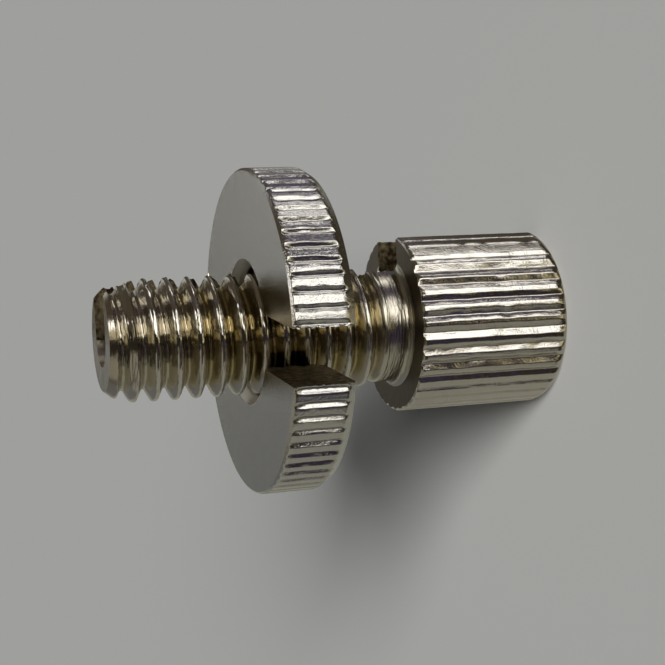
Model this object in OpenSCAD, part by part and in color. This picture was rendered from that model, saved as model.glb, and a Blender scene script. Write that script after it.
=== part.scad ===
// Slotted cable adjuster: a hollow threaded barrel with a knurled head, and a
// slotted knurled lock nut that turns on the thread.
// It stands on the end of its head. Z runs along the axis, from the head to the
// tip of the barrel, and X points out of the screw's slot.

/* [Thread] */
// Diameter over the thread crests
thread_d = 5.95; // [5.8:0.01:6.1]
// Distance from one crest to the next
thread_pitch = 1; // [0.75:0.05:1.25]
// Depth of the thread, measured on the radius
thread_depth = 0.6; // [0.4:0.02:0.7]
// Width of the flat on a thread crest
crest_flat = 0.16; // [0.08:0.01:0.2]
// Width of the flat at the bottom of a thread groove
root_flat = 0.14; // [0.08:0.01:0.2]

/* [Barrel] */
// Length of the barrel, from the head to the tip
barrel_l = 14.2; // [12:0.1:24]
// Shortest plain neck beside the head, where the thread runs out
neck_l = 1.1; // [0.6:0.1:3]
// Diameter of the plain neck
neck_d = 5.6; // [5.3:0.05:5.7]
// Fillet between the neck and the head
neck_fillet = 0.3; // [0.1:0.05:0.5]
// Chamfer on the tip, along the axis
tip_chamfer_l = 0.7; // [0.3:0.05:1]
// Chamfer on the tip, on the radius
tip_chamfer_r = 0.6; // [0.2:0.05:0.8]

/* [Head] */
// Diameter of the head over its knurl
head_d = 8.6; // [8:0.1:11]
// Length of the head
head_l = 7.6; // [6:0.1:12]
// Rounding of the head's outer end
head_round = 0.7; // [0.3:0.05:0.8]
// Edge broken on the head's barrel side
head_edge = 0.1; // [0.05:0.01:0.2]
// Number of teeth in the head's knurl
head_teeth = 37; // [24:1:44]
// Depth of the head's knurl grooves
head_groove_depth = 0.2; // [0.1:0.01:0.3]
// Included angle of the head's knurl grooves
head_groove_angle = 108; // [80:1:115]

/* [Cable way] */
// Width of the saw slot along the screw
slot_w = 2.5; // [1.6:0.1:2.8]
// Diameter of the hole for the inner wire
wire_hole_d = 2.5; // [1.6:0.1:2.8]
// Diameter of the socket for the cable casing
socket_d = 5.5; // [4.5:0.1:6]
// Depth of the socket
socket_depth = 5.5; // [3:0.1:6]
// Chamfer at the mouth of the socket
socket_chamfer = 0.25; // [0.1:0.05:0.4]

/* [Lock nut] */
// Diameter of the lock nut over its knurl
nut_d = 15.35; // [12:0.05:20]
// Thickness of the lock nut
nut_t = 2.9; // [2.4:0.1:5]
// Distance between the lock nut and the head
nut_gap = 4.45; // [1:0.05:6]
// Turn of the nut's slot away from the screw's slot
nut_turn = -99.5; // [-180:0.5:180]
// Width of the slot in the lock nut
nut_slot_w = 2.5; // [1.6:0.1:3]
// Number of teeth in the nut's knurl
nut_teeth = 68; // [40:1:76]
// Depth of the nut's knurl grooves
nut_groove_depth = 0.17; // [0.08:0.01:0.25]
// Included angle of the nut's knurl grooves
nut_groove_angle = 92; // [80:1:110]
// Bevel of the nut's rim on the tip side, along the axis
nut_tip_bevel_l = 0.2; // [0.1:0.05:0.5]
// Bevel of the nut's rim on the tip side, on the radius
nut_tip_bevel_r = 0.15; // [0.1:0.01:0.3]
// Bevel of the nut's rim on the head side, along the axis
nut_head_bevel_l = 0.42; // [0.1:0.02:0.6]
// Bevel of the nut's rim on the head side, on the radius
nut_head_bevel_r = 0.26; // [0.1:0.01:0.4]
// Diameter of the countersink at both mouths of the nut
nut_sink_d = 6.9; // [6.4:0.1:8]
// Diameter of the nut's bore between its thread grooves
nut_minor_d = 5; // [4.95:0.01:5.3]
// Radial clearance between the two threads
thread_clearance = 0.08; // [0.04:0.01:0.1]

/* [Hidden] */
$fn = 96;

plate_colour = "#b9b5a8";
nut_colour = "#c6c3b8";

// A cutter runs past the face that it opens by this much
past = 0.5;

thread_r = thread_d / 2;
root_r = thread_r - thread_depth;
head_r = head_d / 2;
nut_r = nut_d / 2;
tip_z = head_l + barrel_l;
nut_z = head_l + nut_gap;
thread_turns = floor((barrel_l - neck_l) / thread_pitch);
thread_l = thread_turns * thread_pitch;
flank_l = (thread_pitch - crest_flat - root_flat) / 2;

// Half section of the thread from crest to crest, widened on the radius by grow,
// for the groove that is turn pitches back from the tip
function thread_groove(turn, grow) =
    let (top = tip_z - turn * thread_pitch)
    [
        [thread_r + grow, top - crest_flat / 2],
        [root_r + grow, top - crest_flat / 2 - flank_l],
        [root_r + grow, top - crest_flat / 2 - flank_l - root_flat],
        [thread_r + grow, top - thread_pitch + crest_flat / 2]
    ];

// A solid rod with the thread on it, from the tip back to the neck
module threaded_rod(grow = 0) {
    rotate_extrude()
        polygon(concat(
            [[0, tip_z], [thread_r + grow, tip_z]],
            [for (turn = [0 : thread_turns - 1]) each thread_groove(turn, grow)],
            [[thread_r + grow, tip_z - thread_l], [0, tip_z - thread_l]]
        ));
}

// Outline of a straight knurl: V grooves that meet in sharp peaks beyond radius r,
// which the blank then trims to lands. One groove is on the X axis.
module knurl_outline(r, teeth, depth, angle) {
    half_tooth = 180 / teeth;
    valley_r = r - depth;
    peak_r = valley_r / (cos(half_tooth) - sin(half_tooth) / tan(angle / 2));
    polygon([
        for (tooth = [0 : teeth - 1])
            let (at = 2 * half_tooth * tooth)
            each [
                valley_r * [cos(at), sin(at)],
                peak_r * [cos(at + half_tooth), sin(at + half_tooth)]
            ]
    ]);
}

// A prism that cuts a slot of width w from the axis out past radius r
module slot_cutter(w, r, from_z, to_z) {
    translate([0, -w / 2, from_z])
        cube([r, w, to_z - from_z]);
}

// Half section of the head, with the rounded end on the floor
module head_section() {
    square([head_r - head_round, head_l]);
    translate([0, head_round])
        square([head_r, head_l - head_round - head_edge]);
    translate([head_r - head_round, head_round])
        circle(head_round);
    polygon([
        [0, head_l - head_edge],
        [head_r, head_l - head_edge],
        [head_r - head_edge, head_l],
        [0, head_l]
    ]);
}

module knurled_head() {
    intersection() {
        linear_extrude(head_l)
            knurl_outline(head_r, head_teeth, head_groove_depth, head_groove_angle);
        rotate_extrude()
            head_section();
    }
}

// Plain neck, with the fillet that runs into the head
module neck() {
    neck_r = neck_d / 2;
    translate([0, 0, head_l])
        cylinder(h = barrel_l - thread_l, r = neck_r);
    translate([0, 0, head_l])
        rotate_extrude()
            difference() {
                square([neck_r + neck_fillet, neck_fillet]);
                translate([neck_r + neck_fillet, neck_fillet])
                    circle(neck_fillet);
            }
}

module threaded_barrel() {
    intersection() {
        threaded_rod();
        union() {
            translate([0, 0, head_l])
                cylinder(h = barrel_l - tip_chamfer_l, r = thread_r);
            translate([0, 0, tip_z - tip_chamfer_l])
                cylinder(h = tip_chamfer_l, r1 = thread_r, r2 = thread_r - tip_chamfer_r);
        }
    }
}

// Everything cut out for the cable: the casing's socket in the head, the wire's
// hole to the tip, and the slot that opens both along one side
module cable_way() {
    translate([0, 0, -past])
        cylinder(h = tip_z + 2 * past, d = wire_hole_d);
    translate([0, 0, -past])
        cylinder(h = socket_depth + past, d = socket_d);
    cylinder(h = socket_chamfer, d1 = socket_d + 2 * socket_chamfer, d2 = socket_d);
    slot_cutter(slot_w, max(head_r, thread_r) + past, -past, tip_z + past);
}

module adjuster_screw() {
    color(plate_colour)
        difference() {
            union() {
                knurled_head();
                neck();
                threaded_barrel();
            }
            cable_way();
        }
}

// Knurled disc with a bevel on each side of its rim
module nut_blank() {
    intersection() {
        translate([0, 0, nut_z])
            linear_extrude(nut_t)
                knurl_outline(nut_r, nut_teeth, nut_groove_depth, nut_groove_angle);
        rotate_extrude()
            polygon([
                [0, nut_z],
                [nut_r - nut_head_bevel_r, nut_z],
                [nut_r, nut_z + nut_head_bevel_l],
                [nut_r, nut_z + nut_t - nut_tip_bevel_l],
                [nut_r - nut_tip_bevel_r, nut_z + nut_t],
                [0, nut_z + nut_t]
            ]);
    }
}

// Countersinks that lead the barrel into the nut from both sides
module nut_sinks() {
    sink_l = (nut_sink_d - nut_minor_d) / 2;
    translate([0, 0, nut_z])
        cylinder(h = sink_l, d1 = nut_sink_d, d2 = nut_minor_d);
    translate([0, 0, nut_z + nut_t - sink_l])
        cylinder(h = sink_l, d1 = nut_minor_d, d2 = nut_sink_d);
}

module lock_nut() {
    color(nut_colour)
        rotate([0, 0, nut_turn])
            difference() {
                nut_blank();
                translate([0, 0, nut_z - past])
                    cylinder(h = nut_t + 2 * past, d = nut_minor_d);
                threaded_rod(thread_clearance);
                nut_sinks();
                slot_cutter(nut_slot_w, nut_r + past, nut_z - past, nut_z + nut_t + past);
            }
}

adjuster_screw();
lock_nut();
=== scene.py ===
"""Slotted cable adjuster in bright nickel plate: a hollow threaded barrel with a
knurled head, standing on its head, and the slotted lock nut that turns on its thread."""
import math

import bmesh
import bpy
import numpy as np
from mathutils import Matrix, Vector


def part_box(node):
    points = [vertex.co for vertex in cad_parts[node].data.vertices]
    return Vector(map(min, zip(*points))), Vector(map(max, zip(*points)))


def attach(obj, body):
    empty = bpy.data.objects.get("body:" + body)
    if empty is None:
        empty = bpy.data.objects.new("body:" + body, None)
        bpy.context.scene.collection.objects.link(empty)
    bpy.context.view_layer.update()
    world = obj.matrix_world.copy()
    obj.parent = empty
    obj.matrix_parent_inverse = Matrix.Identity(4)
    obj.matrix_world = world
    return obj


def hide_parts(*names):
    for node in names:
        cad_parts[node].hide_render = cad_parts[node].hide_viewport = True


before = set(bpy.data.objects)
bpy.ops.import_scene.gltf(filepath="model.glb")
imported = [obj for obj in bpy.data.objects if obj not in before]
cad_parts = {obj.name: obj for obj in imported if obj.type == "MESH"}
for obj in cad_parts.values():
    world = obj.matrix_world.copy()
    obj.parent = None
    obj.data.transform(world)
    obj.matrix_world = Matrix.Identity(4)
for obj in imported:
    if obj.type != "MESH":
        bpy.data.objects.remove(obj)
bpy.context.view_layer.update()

MM = 0.001
TURN = 2 * math.pi

# Sizes in millimetres. Places along the axis come from the frame.
screw_low, screw_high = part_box("adjuster_screw")
nut_low, nut_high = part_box("lock_nut")
TIP_Z = screw_high.z / MM
NUT_Z = nut_low.z / MM
NUT_T = (nut_high.z - nut_low.z) / MM

HEAD_R = -screw_low.x / MM
HEAD_L = 7.6
HEAD_ROUND = 0.7
HEAD_EDGE = 0.1
HEAD_TEETH = 37
HEAD_GROOVE = 0.2
NECK_R = 2.8
NECK_TOP = 8.5              # the neck's rows of points end here, and the thread's begin
NECK_FILLET = 0.3
THREAD_R = 2.975
PITCH = 1.0
RUN_OUT = (8.55, 9.5)       # the thread grows from nothing to full depth between these
RUN_OUT_LEAN = 0.3          # and does so this much higher at the end of a turn
FULL_LEAN = 9.6             # from here the rows of points follow the helix
CREST_Z = 19.97             # a crest of the helix passes this height at CREST_TURN
CREST_TURN = math.radians(-24.6)
CREST_WAVER = 0.012         # how far the rolled crests waver
LAST_GROOVE = (20.75, 21.15)    # the last groove dies out between these
TIP_WEAR = (20.3, 21.1)     # the crests are worn down between these
WEAR_DEPTH = 0.3
TIP_CHAMFER_L = 0.7
TIP_CHAMFER_R = 0.6
SLOT_W = 2.5
WIRE_R = 1.25
SOCKET_R = 2.75
SOCKET_DEPTH = 5.5
SOCKET_CHAMFER = 0.25
EDGE_BREAK = 0.035
EDGE_BREAK_WIDTH = 0.05
EDGE_TEAR = 0.03            # how far the saw tore the slot's edge to either side
SCREW_BURR = 0.08           # height of the burrs along the slot, on the barrel
HEAD_BURR = 0.02
NUT_BURR = 0.03

NUT_R = 7.675
NUT_TEETH = 68
NUT_GROOVE = 0.17
NUT_SLOT_TURN = math.radians(-99.5)
NUT_TIP_BEVEL = (0.13, 0.12)      # along the axis, on the radius
NUT_HEAD_BEVEL = (0.42, 0.26)
NUT_SINK_R = 3.45
NUT_MINOR_R = 3.0                # just clears the crests, so that the nut can turn
NUT_MAJOR_R = 3.3


# Finishes, in the order of each piece's material slots
PLATE, WALL, BORE, FACE = 0, 1, 2, 3

# Points closer than this are one, in millimetres
SAME_POINT = 0.0008
SHORTEST_EDGE = 0.0002
SHARP_EDGE = math.radians(50)
CLOSEST_COLUMNS = math.radians(0.25)    # from the slot's edge, and from each other
FINE_TIP = 1.3                  # the thread's rows are twice as close this near the tip


# ---- shared shapes -------------------------------------------------------------

def smooth(low, high, value):
    """0 below low, 1 above high and an S curve between."""
    t = np.clip((value - low) / (high - low), 0.0, 1.0)
    return t * t * (3 - 2 * t)


def rounded_min(a, b, blend):
    """The smaller of two surfaces, with the edge between them rounded over blend."""
    h = np.clip(0.5 + 0.5 * (b - a) / blend, 0.0, 1.0)
    return b * (1 - h) + a * h - blend * h * (1 - h)


def ripple(seed, size, *places):
    """Smooth random unevenness between about -1 and 1, with bumps size wide."""
    dice = np.random.default_rng(seed)
    total = 0.0
    for _ in range(10):
        way = dice.normal(size=len(places))
        way *= dice.uniform(0.6, 1.3) * TURN / size / np.linalg.norm(way)
        total = total + np.sin(sum(w * p for w, p in zip(way, places)) + dice.uniform(0, TURN))
    return total / 3.2


def knurl_columns(teeth, marks, wander):
    """Places of the points across each tooth, in teeth; marks are shares of a tooth's
    width, from one groove's bottom to the next. They follow each groove's width."""
    wide = wander[1]
    marks = np.array(marks)[None, :]
    steps = np.arange(teeth)[:, None]
    following = 1 - (1 - marks) * np.roll(wide, -1)[:, None]
    own = np.where(marks < 0.5, marks * wide[:, None], np.where(marks > 0.5, following, 0.5))
    return (steps + own).ravel()


def tooth_wander(teeth, seed, shift, depth, land):
    """Small uneven steps of a knurl: each groove's shift and depth, each land's drop."""
    dice = np.random.default_rng(seed)
    return (dice.uniform(-shift, shift, teeth), 1 + dice.uniform(-depth, depth, teeth),
            dice.uniform(0, land, teeth))


def knurl_drop(angle, z, teeth, depth, half_groove, wander):
    """How far the knurl lies below its lands. wander holds a shift, a depth factor
    and a land drop for each tooth, because a rolled knurl is never quite even."""
    shift, deeper, low_land = wander
    place = np.mod(angle, TURN) * teeth / TURN
    tooth = np.floor(place).astype(int) % teeth
    groove = np.rint(place).astype(int) % teeth
    waver = 0.02 * ripple(7, 1.1, z, 3.1 * groove)
    off = np.abs(place - np.rint(place) - shift[groove] - waver)
    deep = depth * deeper[groove] * (1 + 0.08 * ripple(8, 1.7, z, 3.1 * groove))
    drop = deep * np.clip(1 - off / (half_groove * deeper[groove]), 0.0, 1.0)
    land = low_land[tooth] * smooth(0.2, 0.5, off)
    return rounded_min(drop, 0.9 * deep, 0.03) + land


def slot_edge(radius_at, rows, half_slot, side):
    """Angles of the slot's edge on one side: at the wall, and where its break ends."""
    wall = np.full(rows.shape, 0.4)
    torn = half_slot + EDGE_TEAR * ripple(5 + side, 0.45, rows)
    for _ in range(24):
        radius = radius_at(side * wall, rows)
        wall = 0.5 * wall + 0.5 * np.arcsin(torn / radius)
    broken = np.arcsin((torn + EDGE_BREAK_WIDTH) / radius)
    if side > 0:
        return wall, broken
    return TURN - wall, TURN - broken


def burr(rows, seed, height):
    """How far the slot's edge stands above its broken corner."""
    return height * np.maximum(ripple(seed, 0.4, rows), 0.0) - EDGE_BREAK


def slotted_ring(radius_at, rows, columns, half_slot):
    """Angles of the outside's points at each height in rows, from the slot's one wall
    round to the other. columns are the angles of the points, or a count of even ones."""
    lead = slot_edge(radius_at, rows, half_slot, 1)
    trail = slot_edge(radius_at, rows, half_slot, -1)
    if np.ndim(columns) == 0:
        share = (np.arange(columns)[None, :] + 1) / (columns + 1)
        between = lead[1][:, None] * (1 - share) + trail[1][:, None] * share
    else:
        between = np.repeat(columns[None, :], len(rows), axis=0)
        ramp = np.arange(1, len(columns) + 1) * CLOSEST_COLUMNS
        between = np.maximum(between, lead[1][:, None] + ramp[None, :])
        between = np.minimum(between, trail[1][:, None] - ramp[None, ::-1])
    return np.concatenate(
        [lead[0][:, None], lead[1][:, None], between, trail[1][:, None], trail[0][:, None]],
        axis=1)


def turned_solid(name, rings, top_kind):
    """A closed mesh from rings of points in millimetres, stacked from one end to the
    other. Each ring runs round the slotted section: the outside, one wall, the inside
    and the other wall. Its kinds give the material of the face after each point.
    Where the outside changes its number of points, triangles join the two rings."""
    mesh = bpy.data.meshes.new(name)
    made = bmesh.new()
    loops = [[made.verts.new(p) for p in points * MM] for points, _, _ in rings]
    flat = []
    for row in range(len(rings) - 1):
        low, high = loops[row], loops[row + 1]
        kinds, around, around_high = rings[row][1], rings[row][2], rings[row + 1][2]
        if around == around_high:
            steps = [(k, k, 1, 1) for k in range(around - 1)]
        else:
            steps, a, b = [], 0, 0
            while a < around - 1 or b < around_high - 1:
                if b == around_high - 1 or (a + 1) * (around_high - 1) <= (b + 1) * (around - 1):
                    steps.append((a, b, 1, 0))
                    a += 1
                else:
                    steps.append((a, b, 0, 1))
                    b += 1
        rest = len(low) - around
        steps += [(around - 1 + k, around_high - 1 + k, 1, 1) for k in range(rest + 1)]
        for a, b, step_a, step_b in steps:
            corners = [low[a]]
            if step_a:
                corners.append(low[(a + 1) % len(low)])
            if step_b:
                corners.append(high[(b + 1) % len(high)])
            face = made.faces.new(corners + [high[b]])
            if around != around_high and a < around - 1:
                flat.append(face)
                face.material_index = FACE
            else:
                face.material_index = kinds[a]
    made.faces.new(list(reversed(loops[0])))
    made.faces.new(loops[-1]).material_index = top_kind
    bmesh.ops.remove_doubles(made, verts=made.verts, dist=SAME_POINT * MM)
    bmesh.ops.dissolve_degenerate(made, edges=made.edges, dist=SHORTEST_EDGE * MM)
    ends = [f for f in made.faces if len(f.verts) > 4]
    flat = [f for f in flat if f.is_valid]
    flat += bmesh.ops.triangulate(made, faces=ends, ngon_method="EAR_CLIP")["faces"]
    bmesh.ops.recalc_face_normals(made, faces=made.faces)
    for face in made.faces:
        face.smooth = True
    for face in flat:
        face.smooth = False
    for edge in made.edges:
        edge.smooth = edge.is_manifold and edge.calc_face_angle(0.0) < SHARP_EDGE
    made.to_mesh(mesh)
    made.free()
    piece = bpy.data.objects.new(name, mesh)
    bpy.context.scene.collection.objects.link(piece)
    return piece


def section_rings(outside, inside, wall_steps):
    """Rings for turned_solid between matching rows of outside and inside points."""
    share = np.linspace(0, 1, wall_steps + 2)[1:-1][:, None]
    rings = []
    for out, bore in zip(outside, inside):
        far_wall = out[-1:] * (1 - share) + bore[:1] * share
        near_wall = bore[-1:] * (1 - share) + out[:1] * share
        kinds = ([PLATE] * (len(out) - 1) + [WALL] * (wall_steps + 1)
                 + [BORE] * (len(bore) - 1) + [WALL] * (wall_steps + 1))
        rings.append((np.concatenate([out, far_wall, bore, near_wall]), kinds, len(out)))
    return rings


# ---- adjuster screw ------------------------------------------------------------

HEAD_WANDER = tooth_wander(HEAD_TEETH, seed=11, shift=0.03, depth=0.12, land=0.02)
# Grooves that the knurling wheel rolled less deep, and their share of the full depth
HEAD_SHALLOW = {21: 0.5, 22: 0.5, 23: 0.6, 24: 0.8, 32: 0.8, 33: 0.25, 34: 0.3, 35: 0.3}
for groove, depth_share in HEAD_SHALLOW.items():
    HEAD_WANDER[1][groove] *= depth_share
HEAD_WIDEST = 28                # the groove where the knurl is spaced widest
HEAD_HALF_GROOVE = 0.377        # in teeth
HEAD_MARKS = (0.0, 0.028, 0.07, 0.33, 0.375, 0.42, 0.5, 0.58, 0.625, 0.67, 0.93, 0.972)
BARREL_COLUMNS = 156
# Half of a thread profile: distance from the crest's middle, and drop below the crest
THREAD_HALF = ((0.0, 0.0), (0.055, 0.005), (0.1, 0.026), (0.14, 0.075), (0.235, 0.245),
               (0.32, 0.415), (0.39, 0.535), (0.43, 0.580), (0.5, 0.6))


def thread_profile(angle, z):
    """Radius of the helical thread."""
    along = (z - CREST_Z) / PITCH - (angle - CREST_TURN) / TURN
    off = np.abs(along - np.rint(along))
    places = [p for p, _ in THREAD_HALF]
    drops = [d for _, d in THREAD_HALF]
    shallow = 1 - 0.9 * smooth(*LAST_GROOVE, z - PITCH * np.mod(angle, TURN) / TURN)
    return THREAD_R - np.interp(off, places, drops) * shallow


def screw_radius(angle, z):
    """Radius of the screw's outside above the face of its head."""
    angle = np.where(angle < 0, angle + TURN, angle)
    depth = smooth(*RUN_OUT, z - RUN_OUT_LEAN * (angle - math.pi) / TURN)
    thread = NECK_R + (thread_profile(angle, z) - NECK_R) * depth
    thread = thread - CREST_WAVER * np.abs(ripple(3, 0.5, 3 * angle, z)) * depth
    cone = THREAD_R - TIP_CHAMFER_R * (z - TIP_Z + TIP_CHAMFER_L) / TIP_CHAMFER_L
    worn = THREAD_R + 0.03 - WEAR_DEPTH * smooth(*TIP_WEAR, z)
    body = rounded_min(rounded_min(thread, cone, 0.08), worn, 0.06)
    rise = np.clip(z - HEAD_L, 0, NECK_FILLET)
    fillet = NECK_R + NECK_FILLET - np.sqrt(
        np.maximum(NECK_FILLET ** 2 - (NECK_FILLET - rise) ** 2, 0.0))
    return np.where(z < HEAD_L + NECK_FILLET, fillet, body)


def spread(place):
    """Place of a groove of the head's knurl that would stand at place if the knurl
    were evenly spaced. Both are in teeth."""
    turned = (place - HEAD_WIDEST) * TURN / HEAD_TEETH
    return place + 0.12 * np.sin(turned) + 0.18 * np.sin(2 * turned)


EVEN_PLACES = np.linspace(-1, HEAD_TEETH + 1, 1561)
SPREAD_PLACES = spread(EVEN_PLACES)


def head_radius(angle, z):
    """Radius of the knurled head."""
    place = np.interp(np.mod(angle, TURN) * HEAD_TEETH / TURN, SPREAD_PLACES, EVEN_PLACES)
    land = HEAD_R - knurl_drop(place * TURN / HEAD_TEETH, z, HEAD_TEETH, HEAD_GROOVE,
                               HEAD_HALF_GROOVE, HEAD_WANDER)
    rise = np.clip(HEAD_ROUND - z, 0, HEAD_ROUND)
    end = HEAD_R - HEAD_ROUND + np.sqrt(HEAD_ROUND ** 2 - rise ** 2)
    edge = HEAD_R - np.clip(z - (HEAD_L - HEAD_EDGE), 0, HEAD_EDGE)
    return np.minimum(rounded_min(land, end + 0.004, 0.02), edge)


def head_rows():
    rounding = HEAD_ROUND * (1 - np.cos(np.linspace(0, 0.5 * math.pi, 11)))
    straight = np.linspace(HEAD_ROUND, HEAD_L - HEAD_EDGE, 44)[1:]
    return np.concatenate([rounding, straight, [HEAD_L - 0.5 * HEAD_EDGE, HEAD_L]])


def barrel_rows():
    fillet = HEAD_L + NECK_FILLET * (1 - np.cos(np.linspace(0, 0.5 * math.pi, 6)))
    neck = np.linspace(HEAD_L + NECK_FILLET, NECK_TOP, 9)[1:]
    half = [p for p, _ in THREAD_HALF]
    keys = sorted(set([-p for p in half[:-1]] + half))
    # height at which a crest passes the side opposite the slot
    crest = CREST_Z + PITCH * (math.pi - CREST_TURN) / TURN
    # rows start half a pitch below their level there, so the last levels are above the tip
    highest = TIP_Z + 0.6 * PITCH
    turns = np.arange(math.floor(NECK_TOP - crest), math.ceil(highest - crest) + 1)
    thread = (crest + turns[:, None] * PITCH + np.array(keys)[None, :]).ravel()
    fine = thread[(thread > TIP_Z - FINE_TIP) & (thread < highest)]
    thread = np.sort(np.concatenate([thread, 0.5 * (fine[1:] + fine[:-1])]))
    thread = thread[(thread > neck[-1] + 0.02) & (thread < highest)]
    return np.concatenate([fillet, neck, thread])


def cylinder_points(angles, radii, heights):
    return np.stack([radii * np.cos(angles), radii * np.sin(angles), heights], axis=-1)


def bore_points(start, radii, heights, columns):
    """Points of a bore's rows, back from the slot's far wall to its near one, which
    they meet at the angle start."""
    share = np.linspace(0, 1, columns)[None, :]
    angles = (TURN - start)[:, None] * (1 - share) + start[:, None] * share
    return cylinder_points(angles, np.repeat(radii[:, None], columns, axis=1),
                           np.repeat(heights[:, None], columns, axis=1))


def screw_outside():
    """Points and heights of the rows, first of the head and then of the barrel."""
    half = SLOT_W / 2
    columns = spread(knurl_columns(HEAD_TEETH, HEAD_MARKS, HEAD_WANDER)) * TURN / HEAD_TEETH
    slot = math.asin(half / HEAD_R) + math.radians(1.2)
    columns = columns[(columns > slot) & (columns < TURN - slot)]
    rows = head_rows()
    angles = slotted_ring(head_radius, rows, columns, half)
    heights = np.repeat(rows[:, None], angles.shape[1], axis=1)
    radii = head_radius(angles, heights)
    radii[:, 0] += burr(rows, 31, HEAD_BURR)
    radii[:, -1] += burr(rows, 32, HEAD_BURR)
    head = cylinder_points(angles, radii, heights)

    level = barrel_rows()
    angles = slotted_ring(screw_radius, np.minimum(level, TIP_Z), BARREL_COLUMNS, half)
    lean = smooth(HEAD_L + NECK_FILLET, FULL_LEAN, level)[:, None]
    heights = level[:, None] + lean * PITCH * (angles - math.pi) / TURN
    heights = np.minimum(heights, TIP_Z)
    # points that end on the tip's face stand where the last row's do, and merge
    angles = np.where(heights < TIP_Z, angles, angles[-1:])
    # the slot's edges follow the radius at their own height
    for column, side, broken in ((0, 1, 0), (1, 1, 1), (-1, -1, 0), (-2, -1, 1)):
        angles[:, column] = slot_edge(screw_radius, heights[:, column], half, side)[broken]
    radii = screw_radius(angles, heights)
    radii[:, 0] += burr(heights[:, 0], 33, SCREW_BURR)
    radii[:, -1] += burr(heights[:, -1], 34, SCREW_BURR)
    barrel = cylinder_points(angles, radii, heights)
    return list(head) + list(barrel), np.concatenate([rows, np.minimum(level, TIP_Z)])


def screw_inside(heights):
    """The wire's hole, and the casing's socket in the head. Two rows near the
    socket's floor are moved onto it."""
    heights = heights.copy()
    floor = int(np.argmin(np.abs(heights - SOCKET_DEPTH)))
    heights[floor] = heights[floor + 1] = SOCKET_DEPTH
    radii = np.where(np.arange(len(heights)) <= floor, SOCKET_R, WIRE_R)
    radii = radii + np.clip(SOCKET_CHAMFER - heights, 0, SOCKET_CHAMFER)
    start = np.arcsin(np.clip(SLOT_W / 2 / radii, 0, 1))
    return bore_points(start, radii, heights, 17)


def make_screw():
    outside, heights = screw_outside()
    return turned_solid("nickel_plated_screw",
                        section_rings(outside, screw_inside(heights), 3), PLATE)


# ---- lock nut ------------------------------------------------------------------

NUT_WANDER = tooth_wander(NUT_TEETH, seed=23, shift=0.03, depth=0.12, land=0.015)
NUT_HALF_GROOVE = 0.25          # in teeth
NUT_MARKS = (0.0, 0.03, 0.065, 0.215, 0.25, 0.285, 0.5, 0.715, 0.75, 0.785, 0.935, 0.97)


def nut_radius(angle, z):
    above = z - NUT_Z
    below = NUT_Z + NUT_T - z
    # the grooves run out towards both faces
    reach = smooth(-0.05, 0.7, above) * smooth(-0.1, 0.5, below)
    land = NUT_R - reach * knurl_drop(angle, z, NUT_TEETH, NUT_GROOVE, NUT_HALF_GROOVE,
                                     NUT_WANDER)
    head_side = NUT_R - NUT_HEAD_BEVEL[1] * (1 - above / NUT_HEAD_BEVEL[0])
    tip_side = NUT_R - NUT_TIP_BEVEL[1] * (1 - below / NUT_TIP_BEVEL[0])
    return rounded_min(rounded_min(land, head_side, 0.05), tip_side, 0.03)


def nut_bore():
    """Height and radius of the bore's rows: countersink, thread rings, countersink."""
    sink = NUT_SINK_R - NUT_MINOR_R
    rows = [(0.0, NUT_SINK_R), (sink, NUT_MINOR_R)]
    turns = 2
    start = 0.5 * (NUT_T - turns * PITCH)
    for turn in range(turns):
        base = start + PITCH * turn
        for share, cut in ((0.12, 0.0), (0.42, 1.0), (0.58, 1.0), (0.88, 0.0)):
            rows.append((base + PITCH * share, NUT_MINOR_R + cut * (NUT_MAJOR_R - NUT_MINOR_R)))
    rows += [(NUT_T - sink, NUT_MINOR_R), (NUT_T, NUT_SINK_R)]
    return np.array(rows)


def make_nut():
    half = SLOT_W / 2
    columns = knurl_columns(NUT_TEETH, NUT_MARKS, NUT_WANDER) * TURN / NUT_TEETH
    slot = math.asin(half / NUT_R) + math.radians(0.6)
    columns = columns[(columns > slot) & (columns < TURN - slot)]
    head_bevel = NUT_Z + NUT_HEAD_BEVEL[0] * np.array([0, 0.03, 0.1, 0.3, 0.55, 0.75, 0.9, 1.05])
    tip_bevel = NUT_Z + NUT_T - NUT_TIP_BEVEL[0] * np.array(
        [1.15, 0.95, 0.8, 0.6, 0.3, 0.1, 0])
    middle = np.linspace(head_bevel[-1], tip_bevel[0], 20)[1:-1]
    rows = np.concatenate([head_bevel, middle, tip_bevel])
    angles = slotted_ring(nut_radius, rows, columns, half)
    heights = np.repeat(rows[:, None], angles.shape[1], axis=1)
    radii = nut_radius(angles, heights)
    radii[:, 0] += burr(rows, 35, NUT_BURR)
    radii[:, -1] += burr(rows, 36, NUT_BURR)
    outside = cylinder_points(angles, radii, heights)

    bore = nut_bore()
    share = np.interp(np.linspace(0, len(bore) - 1, len(rows)), np.arange(len(bore)),
                      bore[:, 0])
    share[0], share[-1] = 0.0, NUT_T
    bore_r = np.interp(share, bore[:, 0], bore[:, 1])
    start = np.arcsin(half / bore_r)
    inside = bore_points(start, bore_r, NUT_Z + share, 97)
    turn = np.array(Matrix.Rotation(NUT_SLOT_TURN, 3, "Z"))
    return turned_solid("nickel_plated_nut",
                        section_rings(outside @ turn.T, inside @ turn.T, 8), PLATE)


# ---- finishes ------------------------------------------------------------------

def colour(hex_value):
    """sRGB hex to a linear RGBA colour."""
    parts = [int(hex_value[i:i + 2], 16) / 255 for i in (1, 3, 5)]
    return tuple(c / 12.92 if c <= 0.04045 else ((c + 0.055) / 1.055) ** 2.4
                 for c in parts) + (1.0,)


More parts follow.
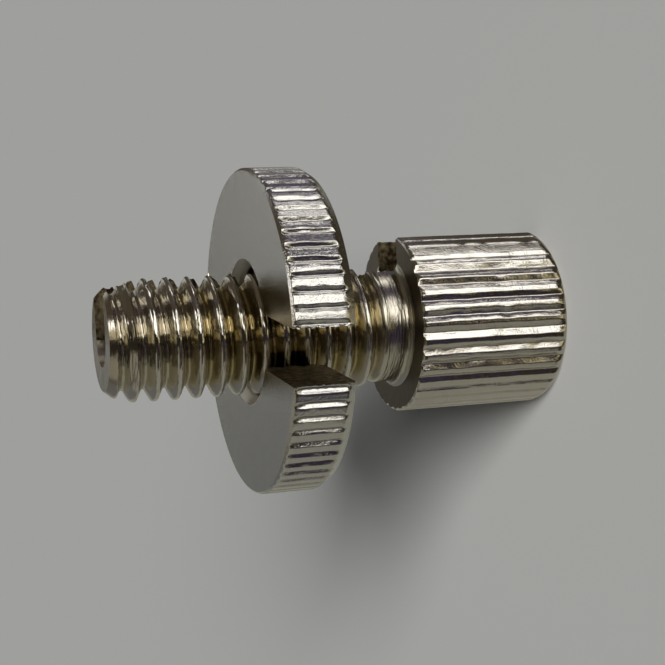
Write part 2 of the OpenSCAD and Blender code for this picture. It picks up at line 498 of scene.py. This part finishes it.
def node(tree, kind, inputs=None, **settings):
    """Adds a node with its settings, input values and links."""
    made = tree.nodes.new(kind)
    for key, value in settings.items():
        setattr(made, key, value)
    for socket, value in (inputs or {}).items():
        if isinstance(value, bpy.types.NodeSocket):
            tree.links.new(value, made.inputs[socket])
        else:
            made.inputs[socket].default_value = value
    return made


def per_mm(size):
    """Texture scale that makes a feature size millimetres wide."""
    return 1 / (size * MM)


def new_material(name):
    material = bpy.data.materials.new(name)
    material.use_nodes = True
    material.node_tree.nodes.clear()
    return material


def bright_nickel(name, base, rough, torn=0.02, grime=0.0):
    """Bright nickel over turned and rolled steel: mirror-like with a warm cast. The
    plate follows the torn grain of the steel under it, so that every reflection has
    ragged edges. Grime browns the thread below its crests, less towards the tip. With
    it come turning marks, which run round the thread and the neck."""
    material = new_material(name)
    tree = material.node_tree
    place = node(tree, "ShaderNodeTexCoord").outputs["Object"]
    # real grain is finer, about 0.02 mm: it is drawn as coarse as it needs to show
    grain = node(tree, "ShaderNodeTexNoise",
                 {"Vector": place, "Scale": per_mm(0.11), "Detail": 3.0, "Roughness": 0.65})
    waves = node(tree, "ShaderNodeTexNoise",
                 {"Vector": place, "Scale": per_mm(0.8), "Detail": 1.0})
    fine = node(tree, "ShaderNodeBump",
                {"Height": grain.outputs["Fac"], "Strength": 0.7, "Distance": torn * MM})
    bump = node(tree, "ShaderNodeBump",
                {"Height": waves.outputs["Fac"], "Strength": 0.4, "Distance": 0.02 * MM,
                 "Normal": fine.outputs["Normal"]})
    tint, dull = colour(base), rough
    if grime:
        parts = node(tree, "ShaderNodeSeparateXYZ", {"Vector": place})
        flat = node(tree, "ShaderNodeCombineXYZ",
                    {"X": parts.outputs["X"], "Y": parts.outputs["Y"]})
        radius = node(tree, "ShaderNodeVectorMath", {0: flat.outputs["Vector"]},
                      operation="LENGTH").outputs["Value"]
        below = node(tree, "ShaderNodeMapRange",
                     {"Value": radius, "From Min": 2.45 * MM, "From Max": 2.93 * MM,
                      "To Min": 1.0, "To Max": 0.0}).outputs["Result"]
        under_nut = node(tree, "ShaderNodeMapRange",
                         {"Value": parts.outputs["Z"], "From Min": 16.5 * MM,
                          "From Max": 20.5 * MM, "To Min": grime, "To Max": 0.3 * grime},
                         interpolation_type="SMOOTHSTEP").outputs["Result"]
        share = node(tree, "ShaderNodeMath", {0: below, 1: under_nut},
                     operation="MULTIPLY").outputs["Value"]
        tint = blend_in(tree, share, tint, colour("#a89a70"))
        dull = node(tree, "ShaderNodeMapRange",
                    {"Value": below, "To Min": rough, "To Max": 0.15}).outputs["Result"]
        # turning marks: narrow along the axis, long round it
        squeezed = node(tree, "ShaderNodeMapping",
                        {"Vector": place, "Scale": (1.0, 1.0, 9.0)}).outputs["Vector"]
        marks = node(tree, "ShaderNodeTexNoise",
                     {"Vector": squeezed, "Scale": per_mm(0.9), "Detail": 2.0})
        on_thread = node(tree, "ShaderNodeMath", {0: radius, 1: 3.3 * MM},
                         operation="LESS_THAN").outputs["Value"]
        # the neck and the first turns are duller
        neck = node(tree, "ShaderNodeMapRange",
                    {"Value": parts.outputs["Z"], "From Min": 10.5 * MM,
                     "From Max": 12.5 * MM, "To Min": 0.2, "To Max": 0.0}).outputs["Result"]
        neck = node(tree, "ShaderNodeMath", {0: neck, 1: on_thread},
                    operation="MULTIPLY").outputs["Value"]
        dull = node(tree, "ShaderNodeMath", {0: dull, 1: neck},
                    operation="MAXIMUM").outputs["Value"]
        # rolled flanks are smoother than the knurl
        ragged = node(tree, "ShaderNodeMapRange",
                      {"Value": on_thread, "To Min": 0.7, "To Max": 0.25}).outputs["Result"]
        tree.links.new(ragged, fine.inputs["Strength"])
        bump = node(tree, "ShaderNodeBump",
                    {"Height": marks.outputs["Fac"], "Strength": on_thread,
                     "Distance": 0.02 * MM, "Normal": bump.outputs["Normal"]})
    shader = node(tree, "ShaderNodeBsdfPrincipled",
                  {"Base Color": tint, "Metallic": 1.0, "Roughness": dull,
                   "Normal": bump.outputs["Normal"]})
    node(tree, "ShaderNodeOutputMaterial", {"Surface": shader.outputs["BSDF"]})
    return material


def sawn_steel(name):
    """Sawn steel under thin plate: dull, with coarse saw marks, brown and golden where
    the plate hardly reached."""
    material = new_material(name)
    tree = material.node_tree
    place = node(tree, "ShaderNodeTexCoord").outputs["Object"]
    marks = node(tree, "ShaderNodeTexNoise",
                 {"Vector": place, "Scale": per_mm(0.22), "Detail": 5.0, "Roughness": 0.65})
    patches = node(tree, "ShaderNodeTexNoise",
                   {"Vector": place, "Scale": per_mm(0.35), "Detail": 5.0})
    tint = node(tree, "ShaderNodeValToRGB", {"Fac": patches.outputs["Fac"]})
    ramp = tint.color_ramp
    ramp.elements[0].position, ramp.elements[0].color = 0.38, colour("#42372a")
    ramp.elements[1].position, ramp.elements[1].color = 0.72, colour("#a89b7c")
    bump = node(tree, "ShaderNodeBump",
                {"Height": marks.outputs["Fac"], "Strength": 1.0, "Distance": 0.13 * MM})
    shader = node(tree, "ShaderNodeBsdfPrincipled",
                  {"Base Color": tint.outputs["Color"], "Metallic": 1.0, "Roughness": 0.4,
                   "Normal": bump.outputs["Normal"]})
    node(tree, "ShaderNodeOutputMaterial", {"Surface": shader.outputs["BSDF"]})
    return material


def shade_painted_face():
    """The head's faced-off side: dull turned steel under thin plate, its colour darkened
    brownish as painted shade for the shadowed table that it mirrors.
    """
    material = new_material("shade_painted_face")
    tree = material.node_tree
    place = node(tree, "ShaderNodeTexCoord").outputs["Object"]
    marks = node(tree, "ShaderNodeTexNoise",
                 {"Vector": place, "Scale": per_mm(0.3), "Detail": 4.0})
    bump = node(tree, "ShaderNodeBump",
                {"Height": marks.outputs["Fac"], "Strength": 0.5, "Distance": 0.03 * MM})
    # painted shade: the dark brown base colour stands in for the shade that this face mirrors
    shader = node(tree, "ShaderNodeBsdfPrincipled",
                  {"Base Color": colour("#6b6353"), "Metallic": 1.0, "Roughness": 0.35,
                   "Normal": bump.outputs["Normal"]})
    node(tree, "ShaderNodeOutputMaterial", {"Surface": shader.outputs["BSDF"]})
    return material


def pale_floor():
    """A matt pale grey sheet."""
    material = new_material("pale_sheet")
    tree = material.node_tree
    shader = node(tree, "ShaderNodeBsdfPrincipled",
                  {"Base Color": colour("#d8d8d5"), "Roughness": 1.0,
                   "Specular IOR Level": 0.0})
    node(tree, "ShaderNodeOutputMaterial", {"Surface": shader.outputs["BSDF"]})
    return material


# ---- stage, light and camera ---------------------------------------------------

# Straight up from the studio's pale table, which the metal mirrors below it
TABLE_UP = (0.616, -0.735, 0.284)

# Light in the studio's parts, linear
ROOM = (0.026, 0.021, 0.015, 1.0)
NEAR_BLACK = (0.035, 0.03, 0.022, 1.0)
VIOLET = (0.10, 0.085, 0.13, 1.0)
NAVY = (0.09, 0.075, 0.19, 1.0)
TABLE = (0.29, 0.285, 0.24, 1.0)
WHITE = (2.6, 2.56, 2.54, 1.0)
NUT_LIGHT = (2.2, 2.15, 2.1, 1.0)
THREAD_LIGHT = (2.2, 2.1, 1.9, 1.0)
# What rays that aren't mirrored find
FLOOR_FILL = (0.045, 0.045, 0.0445, 1.0)
SURROUND = (0.35, 0.35, 0.34, 1.0)

# Heights of the rays that each part of the adjuster sends out sideways
THREAD_Z = (-0.265, 0.25)
NUT_RAYS_Z = (-0.335, -0.265)
NECK_Z = (-0.365, -0.335)
HEAD_Z = (-0.505, -0.365)
ROOT_Z = (-1.1, -0.505)         # rays that two flanks of a thread groove passed on

SUN_FROM = Vector((0.27, -0.86, 0.36))
SUN_STRENGTH = 3.9
SUN_WIDTH = math.radians(28)

CAMERA_LENS = 75.8
CAMERA_AT = (0.0, -0.0639082, 0.0321535)
CAMERA_RIGHT = Vector((-0.05908, -0.31874, -0.94600))
CAMERA_UP = Vector((0.99824, -0.01476, -0.05737))
CAMERA_BACK = Vector((0.00433, -0.94773, 0.31905))


def patch(light, **spans):
    """A light patch over spans of direction: each is its low end, high end and the
    softness of both."""
    return tuple((measure, *span) for measure, span in spans.items()), light


def window(first, last, heights, light, soft=2.0):
    """A light patch between two angles round the axis, for rays of some heights."""
    return patch(light, around=tuple(math.radians(a) for a in (first, last, soft)),
                 z=(*heights, 0.008))


# What the metal mirrors. Later patches lie over earlier ones.
WINDOWS = (
    # above the tip: dim, with one warm and one white strip for the tip's chamfer
    patch((0.10, 0.085, 0.066, 1.0), x=(-1.1, -0.36, 0.06), z=(0.2, 1.1, 0.1)),
    patch((0.28, 0.26, 0.21, 1.0),
          x=(-1.1, -0.40, 0.04), y=(-1.1, 0.35, 0.05), z=(0.6, 1.1, 0.05)),
    patch((0.08, 0.064, 0.045, 1.0), x=(0.27, 1.1, 0.03), z=(0.2, 1.1, 0.1)),
    patch((0.6, 0.53, 0.36, 1.0), x=(0.02, 0.26, 0.02), z=(0.75, 1.1, 0.1)),
    patch(WHITE, x=(0.25, 0.42, 0.02), y=(-0.5, -0.15, 0.04), z=(0.72, 1.1, 0.05)),
    patch(TABLE, height=(-2.0, 0.0, 0.08), z=(-1.1, 0.45, 0.1)),
    # behind: the wall that the nut's face and the tip's face mirror, in two halves
    patch((0.50, 0.50, 0.48, 1.0), y=(0.4, 1.1, 0.1), z=(0.1, 0.6, 0.05), x=(0.0, 1.1, 0.03)),
    patch((0.155, 0.155, 0.15, 1.0),
          y=(0.4, 1.1, 0.1), z=(0.1, 0.6, 0.05), x=(-1.1, 0.0, 0.03)),
    # along the thread: the table's dark far edge, and the dim room past it
    patch(NEAR_BLACK, height=(-0.17, 0.04, 0.05), z=(-1.1, -0.505, 0.02)),
    patch(NEAR_BLACK, height=(-0.17, 0.04, 0.05), z=(-0.265, 0.25, 0.02)),
    window(50, 200, THREAD_Z, (0.09, 0.078, 0.06, 1.0), 5.0),
    # round the neck: the head's shadow on the table, and the room past it
    patch((0.14, 0.13, 0.1, 1.0), height=(-2.0, 0.0, 0.08), z=(*NECK_Z, 0.008)),
    window(58, 200, NECK_Z, (0.17, 0.15, 0.125, 1.0), 5.0),
    # round the nut and the head: violet and brown dusk with white windows
    window(-50, -10, NUT_RAYS_Z, NAVY),
    window(50, 76, NUT_RAYS_Z, NAVY),
    window(104, 142, NUT_RAYS_Z, NAVY),
    window(52, 87, HEAD_Z, VIOLET),
    window(97, 200, HEAD_Z, (0.07, 0.06, 0.045, 1.0)),
    window(87, 97, HEAD_Z, WHITE),
    window(13, 49, HEAD_Z, WHITE),
    window(76, 104, NUT_RAYS_Z, NUT_LIGHT),
    window(14, 50, NUT_RAYS_Z, NUT_LIGHT),
    # deep in the thread grooves: a golden strip between dark ones
    window(-75, 0, ROOT_Z, NEAR_BLACK, 6.0),
    window(20, 140, ROOT_Z, (0.05, 0.04, 0.026, 1.0), 6.0),
    window(-10, 20, ROOT_Z, (0.75, 0.66, 0.42, 1.0), 5.0),
    # the windows of the neck and of the thread
    window(22, 54, NECK_Z, (0.7, 0.66, 0.52, 1.0), 5.0),
    window(2, 32, THREAD_Z, THREAD_LIGHT, 3.0),
)


def make_floor():
    mesh = bpy.data.meshes.new("floor")
    made = bmesh.new()
    bmesh.ops.create_grid(made, x_segments=1, y_segments=1, size=2.0)
    made.to_mesh(mesh)
    made.free()
    floor = bpy.data.objects.new("floor", mesh)
    floor.data.materials.append(pale_floor())
    # standing on end, the metal would mirror little but the floor
    floor.visible_glossy = False
    bpy.context.scene.collection.objects.link(floor)


def soft_span(tree, value, low, high, edge):
    """1 where value lies between low and high, fading to 0 over edge on both sides."""
    rise = node(tree, "ShaderNodeMapRange",
                {"Value": value, "From Min": low - edge, "From Max": low + edge},
                interpolation_type="SMOOTHSTEP")
    fall = node(tree, "ShaderNodeMapRange",
                {"Value": value, "From Min": high - edge, "From Max": high + edge,
                 "To Min": 1.0, "To Max": 0.0}, interpolation_type="SMOOTHSTEP")
    return node(tree, "ShaderNodeMath", {0: rise.outputs["Result"], 1: fall.outputs["Result"]},
                operation="MULTIPLY").outputs["Value"]


def blend_in(tree, share, under, over):
    """The colour over laid on the colour under where share is 1."""
    return node(tree, "ShaderNodeMix", {"Factor": share, 6: under, 7: over},
                data_type="RGBA").outputs[2]


def make_world():
    """A studio in which the bright metal finds a pale table on one side, a dim room
    above it and soft windows in that room. The camera sees a plain pale surround."""
    world = bpy.data.worlds.new("studio")
    bpy.context.scene.world = world
    world.use_nodes = True
    tree = world.node_tree
    tree.nodes.clear()
    looking = node(tree, "ShaderNodeTexCoord").outputs["Generated"]
    parts = node(tree, "ShaderNodeSeparateXYZ", {"Vector": looking})
    toward = node(tree, "ShaderNodeMath", {0: parts.outputs["Y"], 1: -1.0},
                  operation="MULTIPLY").outputs["Value"]
    around = node(tree, "ShaderNodeMath", {0: parts.outputs["X"], 1: toward},
                  operation="ARCTAN2").outputs["Value"]
    height = node(tree, "ShaderNodeVectorMath", {0: looking, 1: TABLE_UP},
                  operation="DOT_PRODUCT").outputs["Value"]
    colour_now = ROOM
    for spans, tint in WINDOWS:
        share = None
        for measure, low, high, edge in spans:
            value = {"around": around, "height": height, "x": parts.outputs["X"],
                     "y": parts.outputs["Y"], "z": parts.outputs["Z"]}[measure]
            span = soft_span(tree, value, low, high, edge)
            share = span if share is None else node(
                tree, "ShaderNodeMath", {0: share, 1: span}, operation="MULTIPLY"
            ).outputs["Value"]
        colour_now = blend_in(tree, share, colour_now, tint)
    rays = node(tree, "ShaderNodeLightPath")
    # the camera sees a pale surround, the floor gets a dim even fill, mirrors the studio
    seen = blend_in(tree, rays.outputs["Is Camera Ray"], FLOOR_FILL, SURROUND)
    seen = blend_in(tree, rays.outputs["Is Glossy Ray"], seen, colour_now)
    shade = node(tree, "ShaderNodeBackground", {"Color": seen, "Strength": 1.0})
    node(tree, "ShaderNodeOutputWorld", {"Surface": shade.outputs["Background"]})


def make_sun():
    """Soft light from a large window: even over the floor, with wide soft shadows."""
    light = bpy.data.lights.new("window_light", "SUN")
    light.energy = SUN_STRENGTH
    light.angle = SUN_WIDTH
    lamp = bpy.data.objects.new("window_light", light)
    lamp.rotation_euler = SUN_FROM.to_track_quat("Z", "Y").to_euler()
    lamp.visible_glossy = False
    bpy.context.scene.collection.objects.link(lamp)


def make_camera():
    """The camera lies on its side and looks 18.6 degrees down on the adjuster."""
    camera_data = bpy.data.cameras.new("camera")
    camera_data.lens = CAMERA_LENS
    camera_data.sensor_width = 36.0
    camera_data.clip_start, camera_data.clip_end = 0.001, 10.0
    camera = bpy.data.objects.new("camera", camera_data)
    turn = Matrix((CAMERA_RIGHT, CAMERA_UP, CAMERA_BACK)).transposed().to_4x4()
    camera.matrix_world = Matrix.Translation(CAMERA_AT) @ turn
    bpy.context.scene.collection.objects.link(camera)
    bpy.context.scene.camera = camera


screw = make_screw()
nut = make_nut()
wall = sawn_steel("sawn_slot")
bore = bright_nickel("bored_nickel", "#c4beb0", 0.3)
face = shade_painted_face()
for piece, node_name, plate in (
        (screw, "adjuster_screw",
         bright_nickel("bright_nickel_screw", "#d0ccc3", 0.1, torn=0.017, grime=0.9)),
        (nut, "lock_nut", bright_nickel("bright_nickel_nut", "#cdccc8", 0.1, torn=0.025))):
    for finish in (plate, wall, bore, face):
        piece.data.materials.append(finish)
    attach(piece, node_name)
    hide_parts(node_name)

make_floor()
make_world()
make_sun()
make_camera()

view = bpy.context.scene.view_settings
view.view_transform = "Standard"
